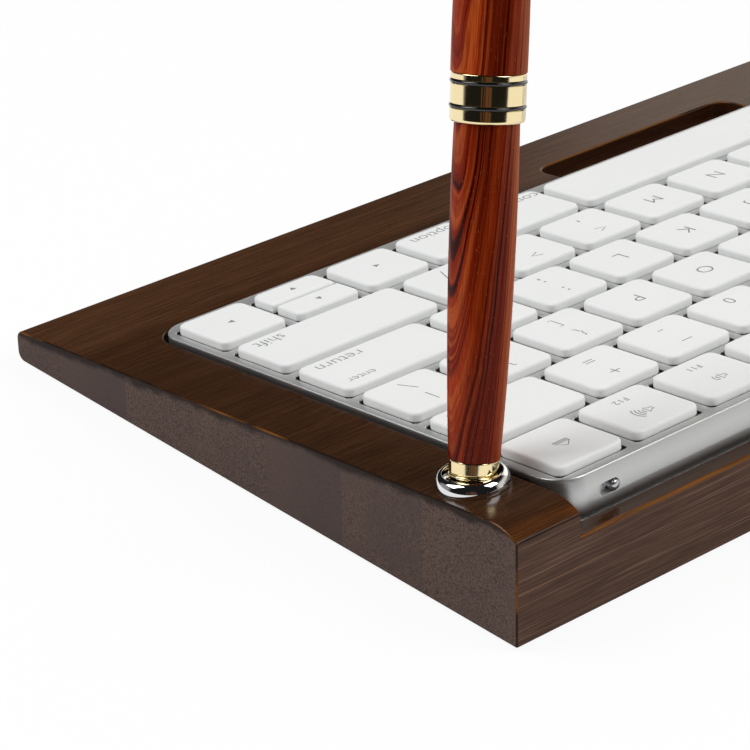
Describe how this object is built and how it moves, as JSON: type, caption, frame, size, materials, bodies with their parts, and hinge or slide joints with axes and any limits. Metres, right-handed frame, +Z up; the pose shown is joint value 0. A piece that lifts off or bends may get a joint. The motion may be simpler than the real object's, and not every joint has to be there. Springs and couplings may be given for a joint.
{
  "type": "keyboard in a wooden tray",
  "caption": "Slim wireless scissor-key keyboard that lifts out of a wedge-shaped stained wood tray, with a turned pen standing in the tray's metal socket.",
  "frame": {"origin": "middle of the footprint, on the surface that the tray's feet stand on", "axes": "+X to the typist's right along the key rows, +Y to the rear, +Z up"},
  "size_m": [0.31, 0.15, 0.1401],
  "materials": {
    "stained_wood": "dark stained laminated bamboo, satin lacquer, worn lighter on the edges",
    "black_rubber": "matte rubber pads",
    "chrome": "polished plating",
    "rosewood": "red-brown rosewood with dark streaks, polished",
    "gold_plate": "polished gold plating",
    "black_gloss": "gloss black rings",
    "aluminium": "fine bead-blasted, anodised",
    "white_plastic": "moulded white plastic",
    "key_plastic": "white moulded key caps, fine satin texture",
    "steel": "bright steel",
    "clear_film": "printed plastic film",
    "dome_rubber": "translucent silicone rubber",
    "circuit_board": "green circuit board",
    "cell_jacket": "printed cell jacket",
    "grey_rubber": "soft pads"
  },
  "bodies": {
    "tray": {"tray_body": "stained_wood", "tray_feet": "black_rubber", "pen_socket": "chrome"},
    "keyboard": {"top_case": "aluminium", "bottom_cover": "white_plastic", "key_support_plate": "steel", "membrane_sheet": "clear_film", "rubber_domes": "dome_rubber", "scissor_links": "white_plastic", "stabiliser_bars": "steel", "controller_board": "circuit_board", "battery_cells": "cell_jacket", "battery_contacts": "steel", "keyboard_feet": "grey_rubber", "case_screws": "steel"},
    "pen": {"pen_barrels": "rosewood", "pen_fittings": "gold_plate", "pen_band_rings": "black_gloss"},
    "battery_cap": {"battery_cap": "aluminium"},
    "power_switch_knob": {"power_switch_knob": "steel"},
    "keys_front_row_left": {"keys_front_row_left": "key_plastic"},
    "key_space": {"key_space": "key_plastic"},
    "key_right_command": {"key_right_command": "key_plastic"},
    "key_right_option": {"key_right_option": "key_plastic"},
    "key_left_arrow": {"key_left_arrow": "key_plastic"},
    "key_right_arrow": {"key_right_arrow": "key_plastic"},
    "keys_shift_row_left": {"keys_shift_row_left": "key_plastic"},
    "key_b": {"key_b": "key_plastic"},
    "key_n": {"key_n": "key_plastic"},
    "key_m": {"key_m": "key_plastic"},
    "key_comma": {"key_comma": "key_plastic"},
    "key_period": {"key_period": "key_plastic"},
    "key_slash": {"key_slash": "key_plastic"},
    "key_right_shift": {"key_right_shift": "key_plastic"},
    "keys_home_row_left": {"keys_home_row_left": "key_plastic"},
    "key_j": {"key_j": "key_plastic"},
    "key_k": {"key_k": "key_plastic"},
    "key_l": {"key_l": "key_plastic"},
    "key_semicolon": {"key_semicolon": "key_plastic"},
    "key_quote": {"key_quote": "key_plastic"},
    "key_return": {"key_return": "key_plastic"},
    "keys_upper_row_left": {"keys_upper_row_left": "key_plastic"},
    "key_i": {"key_i": "key_plastic"},
    "key_o": {"key_o": "key_plastic"},
    "key_p": {"key_p": "key_plastic"},
    "key_left_bracket": {"key_left_bracket": "key_plastic"},
    "key_right_bracket": {"key_right_bracket": "key_plastic"},
    "key_backslash": {"key_backslash": "key_plastic"},
    "keys_number_row_left": {"keys_number_row_left": "key_plastic"},
    "key_zero": {"key_zero": "key_plastic"},
    "key_minus": {"key_minus": "key_plastic"},
    "key_equals": {"key_equals": "key_plastic"},
    "key_delete": {"key_delete": "key_plastic"},
    "keys_function_row_left": {"keys_function_row_left": "key_plastic"},
    "key_f11": {"key_f11": "key_plastic"},
    "key_f12": {"key_f12": "key_plastic"},
    "key_eject": {"key_eject": "key_plastic"},
    "key_down_arrow": {"key_down_arrow": "key_plastic"},
    "key_up_arrow": {"key_up_arrow": "key_plastic"}
  },
  "joints": [
    {"name": "keyboard_lift", "type": "slide", "parent": "tray", "child": "keyboard", "axis": [0, 0, 1], "range_m": [0, 0.008]},
    {"name": "pen_lift", "type": "slide", "parent": "tray", "child": "pen", "axis": [-0.2106, -0.1645, 0.9636], "range_m": [0, 0.03]},
    {"name": "battery_cap_turn", "type": "hinge", "parent": "keyboard", "child": "battery_cap", "pos_m": [-0.13829, 0.06138, 0.01386], "axis": [1, 0, 0], "range_deg": [0, 90]},
    {"name": "power_switch_slide", "type": "slide", "parent": "keyboard", "child": "power_switch_knob", "axis": [1, 0, 0], "range_m": [0, 0.0025]},
    {"name": "keys_front_row_left_press", "type": "slide", "parent": "keyboard", "child": "keys_front_row_left", "axis": [0, 0.1108, -0.9938], "range_m": [0, 0.0016], "stiffness_N_per_m": 1280, "deforming": ["rubber_domes", "scissor_links", "stabiliser_bars"]},
    {"name": "key_space_press", "type": "slide", "parent": "keyboard", "child": "key_space", "axis": [0, 0.1108, -0.9938], "range_m": [0, 0.0016], "stiffness_N_per_m": 320, "deforming": ["rubber_domes", "scissor_links", "stabiliser_bars"]},
    {"name": "key_right_command_press", "type": "slide", "parent": "keyboard", "child": "key_right_command", "axis": [0, 0.1108, -0.9938], "range_m": [0, 0.0016], "stiffness_N_per_m": 320, "deforming": ["rubber_domes", "scissor_links", "stabiliser_bars"]},
    {"name": "key_right_option_press", "type": "slide", "parent": "keyboard", "child": "key_right_option", "axis": [0, 0.1108, -0.9938], "range_m": [0, 0.0016], "stiffness_N_per_m": 320, "deforming": ["rubber_domes", "scissor_links", "stabiliser_bars"]},
    {"name": "key_left_arrow_press", "type": "slide", "parent": "keyboard", "child": "key_left_arrow", "axis": [0, 0.1108, -0.9938], "range_m": [0, 0.0016], "stiffness_N_per_m": 320, "deforming": ["rubber_domes", "scissor_links", "stabiliser_bars"]},
    {"name": "key_right_arrow_press", "type": "slide", "parent": "keyboard", "child": "key_right_arrow", "axis": [0, 0.1108, -0.9938], "range_m": [0, 0.0016], "stiffness_N_per_m": 320, "deforming": ["rubber_domes", "scissor_links", "stabiliser_bars"]},
    {"name": "keys_shift_row_left_press", "type": "slide", "parent": "keyboard", "child": "keys_shift_row_left", "axis": [0, 0.1108, -0.9938], "range_m": [0, 0.0016], "stiffness_N_per_m": 1600, "deforming": ["rubber_domes", "scissor_links", "stabiliser_bars"]},
    {"name": "key_b_press", "type": "slide", "parent": "keyboard", "child": "key_b", "axis": [0, 0.1108, -0.9938], "range_m": [0, 0.0016], "stiffness_N_per_m": 320, "deforming": ["rubber_domes", "scissor_links", "stabiliser_bars"]},
    {"name": "key_n_press", "type": "slide", "parent": "keyboard", "child": "key_n", "axis": [0, 0.1108, -0.9938], "range_m": [0, 0.0016], "stiffness_N_per_m": 320, "deforming": ["rubber_domes", "scissor_links", "stabiliser_bars"]},
    {"name": "key_m_press", "type": "slide", "parent": "keyboard", "child": "key_m", "axis": [0, 0.1108, -0.9938], "range_m": [0, 0.0016], "stiffness_N_per_m": 320, "deforming": ["rubber_domes", "scissor_links", "stabiliser_bars"]},
    {"name": "key_comma_press", "type": "slide", "parent": "keyboard", "child": "key_comma", "axis": [0, 0.1108, -0.9938], "range_m": [0, 0.0016], "stiffness_N_per_m": 320, "deforming": ["rubber_domes", "scissor_links", "stabiliser_bars"]},
    {"name": "key_period_press", "type": "slide", "parent": "keyboard", "child": "key_period", "axis": [0, 0.1108, -0.9938], "range_m": [0, 0.0016], "stiffness_N_per_m": 320, "deforming": ["rubber_domes", "scissor_links", "stabiliser_bars"]},
    {"name": "key_slash_press", "type": "slide", "parent": "keyboard", "child": "key_slash", "axis": [0, 0.1108, -0.9938], "range_m": [0, 0.0016], "stiffness_N_per_m": 320, "deforming": ["rubber_domes", "scissor_links", "stabiliser_bars"]},
    {"name": "key_right_shift_press", "type": "slide", "parent": "keyboard", "child": "key_right_shift", "axis": [0, 0.1108, -0.9938], "range_m": [0, 0.0016], "stiffness_N_per_m": 320, "deforming": ["rubber_domes", "scissor_links", "stabiliser_bars"]},
    {"name": "keys_home_row_left_press", "type": "slide", "parent": "keyboard", "child": "keys_home_row_left", "axis": [0, 0.1108, -0.9938], "range_m": [0, 0.0016], "stiffness_N_per_m": 2240, "deforming": ["rubber_domes", "scissor_links", "stabiliser_bars"]},
    {"name": "key_j_press", "type": "slide", "parent": "keyboard", "child": "key_j", "axis": [0, 0.1108, -0.9938], "range_m": [0, 0.0016], "stiffness_N_per_m": 320, "deforming": ["rubber_domes", "scissor_links", "stabiliser_bars"]},
    {"name": "key_k_press", "type": "slide", "parent": "keyboard", "child": "key_k", "axis": [0, 0.1108, -0.9938], "range_m": [0, 0.0016], "stiffness_N_per_m": 320, "deforming": ["rubber_domes", "scissor_links", "stabiliser_bars"]},
    {"name": "key_l_press", "type": "slide", "parent": "keyboard", "child": "key_l", "axis": [0, 0.1108, -0.9938], "range_m": [0, 0.0016], "stiffness_N_per_m": 320, "deforming": ["rubber_domes", "scissor_links", "stabiliser_bars"]},
    {"name": "key_semicolon_press", "type": "slide", "parent": "keyboard", "child": "key_semicolon", "axis": [0, 0.1108, -0.9938], "range_m": [0, 0.0016], "stiffness_N_per_m": 320, "deforming": ["rubber_domes", "scissor_links", "stabiliser_bars"]},
    {"name": "key_quote_press", "type": "slide", "parent": "keyboard", "child": "key_quote", "axis": [0, 0.1108, -0.9938], "range_m": [0, 0.0016], "stiffness_N_per_m": 320, "deforming": ["rubber_domes", "scissor_links", "stabiliser_bars"]},
    {"name": "key_return_press", "type": "slide", "parent": "keyboard", "child": "key_return", "axis": [0, 0.1108, -0.9938], "range_m": [0, 0.0016], "stiffness_N_per_m": 320, "deforming": ["rubber_domes", "scissor_links", "stabiliser_bars"]},
    {"name": "keys_upper_row_left_press", "type": "slide", "parent": "keyboard", "child": "keys_upper_row_left", "axis": [0, 0.1108, -0.9938], "range_m": [0, 0.0016], "stiffness_N_per_m": 2560, "deforming": ["rubber_domes", "scissor_links", "stabiliser_bars"]},
    {"name": "key_i_press", "type": "slide", "parent": "keyboard", "child": "key_i", "axis": [0, 0.1108, -0.9938], "range_m": [0, 0.0016], "stiffness_N_per_m": 320, "deforming": ["rubber_domes", "scissor_links", "stabiliser_bars"]},
    {"name": "key_o_press", "type": "slide", "parent": "keyboard", "child": "key_o", "axis": [0, 0.1108, -0.9938], "range_m": [0, 0.0016], "stiffness_N_per_m": 320, "deforming": ["rubber_domes", "scissor_links", "stabiliser_bars"]},
    {"name": "key_p_press", "type": "slide", "parent": "keyboard", "child": "key_p", "axis": [0, 0.1108, -0.9938], "range_m": [0, 0.0016], "stiffness_N_per_m": 320, "deforming": ["rubber_domes", "scissor_links", "stabiliser_bars"]},
    {"name": "key_left_bracket_press", "type": "slide", "parent": "keyboard", "child": "key_left_bracket", "axis": [0, 0.1108, -0.9938], "range_m": [0, 0.0016], "stiffness_N_per_m": 320, "deforming": ["rubber_domes", "scissor_links", "stabiliser_bars"]},
    {"name": "key_right_bracket_press", "type": "slide", "parent": "keyboard", "child": "key_right_bracket", "axis": [0, 0.1108, -0.9938], "range_m": [0, 0.0016], "stiffness_N_per_m": 320, "deforming": ["rubber_domes", "scissor_links", "stabiliser_bars"]},
    {"name": "key_backslash_press", "type": "slide", "parent": "keyboard", "child": "key_backslash", "axis": [0, 0.1108, -0.9938], "range_m": [0, 0.0016], "stiffness_N_per_m": 320, "deforming": ["rubber_domes", "scissor_links", "stabiliser_bars"]},
    {"name": "keys_number_row_left_press", "type": "slide", "parent": "keyboard", "child": "keys_number_row_left", "axis": [0, 0.1108, -0.9938], "range_m": [0, 0.0016], "stiffness_N_per_m": 3200, "deforming": ["rubber_domes", "scissor_links", "stabiliser_bars"]},
    {"name": "key_zero_press", "type": "slide", "parent": "keyboard", "child": "key_zero", "axis": [0, 0.1108, -0.9938], "range_m": [0, 0.0016], "stiffness_N_per_m": 320, "deforming": ["rubber_domes", "scissor_links", "stabiliser_bars"]},
    {"name": "key_minus_press", "type": "slide", "parent": "keyboard", "child": "key_minus", "axis": [0, 0.1108, -0.9938], "range_m": [0, 0.0016], "stiffness_N_per_m": 320, "deforming": ["rubber_domes", "scissor_links", "stabiliser_bars"]},
    {"name": "key_equals_press", "type": "slide", "parent": "keyboard", "child": "key_equals", "axis": [0, 0.1108, -0.9938], "range_m": [0, 0.0016], "stiffness_N_per_m": 320, "deforming": ["rubber_domes", "scissor_links", "stabiliser_bars"]},
    {"name": "key_delete_press", "type": "slide", "parent": "keyboard", "child": "key_delete", "axis": [0, 0.1108, -0.9938], "range_m": [0, 0.0016], "stiffness_N_per_m": 320, "deforming": ["rubber_domes", "scissor_links", "stabiliser_bars"]},
    {"name": "keys_function_row_left_press", "type": "slide", "parent": "keyboard", "child": "keys_function_row_left", "axis": [0, 0.1108, -0.9938], "range_m": [0, 0.0016], "stiffness_N_per_m": 3520, "deforming": ["rubber_domes", "scissor_links", "stabiliser_bars"]},
    {"name": "key_f11_press", "type": "slide", "parent": "keyboard", "child": "key_f11", "axis": [0, 0.1108, -0.9938], "range_m": [0, 0.0016], "stiffness_N_per_m": 320, "deforming": ["rubber_domes", "scissor_links", "stabiliser_bars"]},
    {"name": "key_f12_press", "type": "slide", "parent": "keyboard", "child": "key_f12", "axis": [0, 0.1108, -0.9938], "range_m": [0, 0.0016], "stiffness_N_per_m": 320, "deforming": ["rubber_domes", "scissor_links", "stabiliser_bars"]},
    {"name": "key_eject_press", "type": "slide", "parent": "keyboard", "child": "key_eject", "axis": [0, 0.1108, -0.9938], "range_m": [0, 0.0016], "stiffness_N_per_m": 320, "deforming": ["rubber_domes", "scissor_links", "stabiliser_bars"]},
    {"name": "key_down_arrow_press", "type": "slide", "parent": "keyboard", "child": "key_down_arrow", "axis": [0, 0.1108, -0.9938], "range_m": [0, 0.0016], "stiffness_N_per_m": 320, "deforming": ["rubber_domes", "scissor_links", "stabiliser_bars"]},
    {"name": "key_up_arrow_press", "type": "slide", "parent": "keyboard", "child": "key_up_arrow", "axis": [0, 0.1108, -0.9938], "range_m": [0, 0.0016], "stiffness_N_per_m": 320, "deforming": ["rubber_domes", "scissor_links", "stabiliser_bars"]}
  ]
}
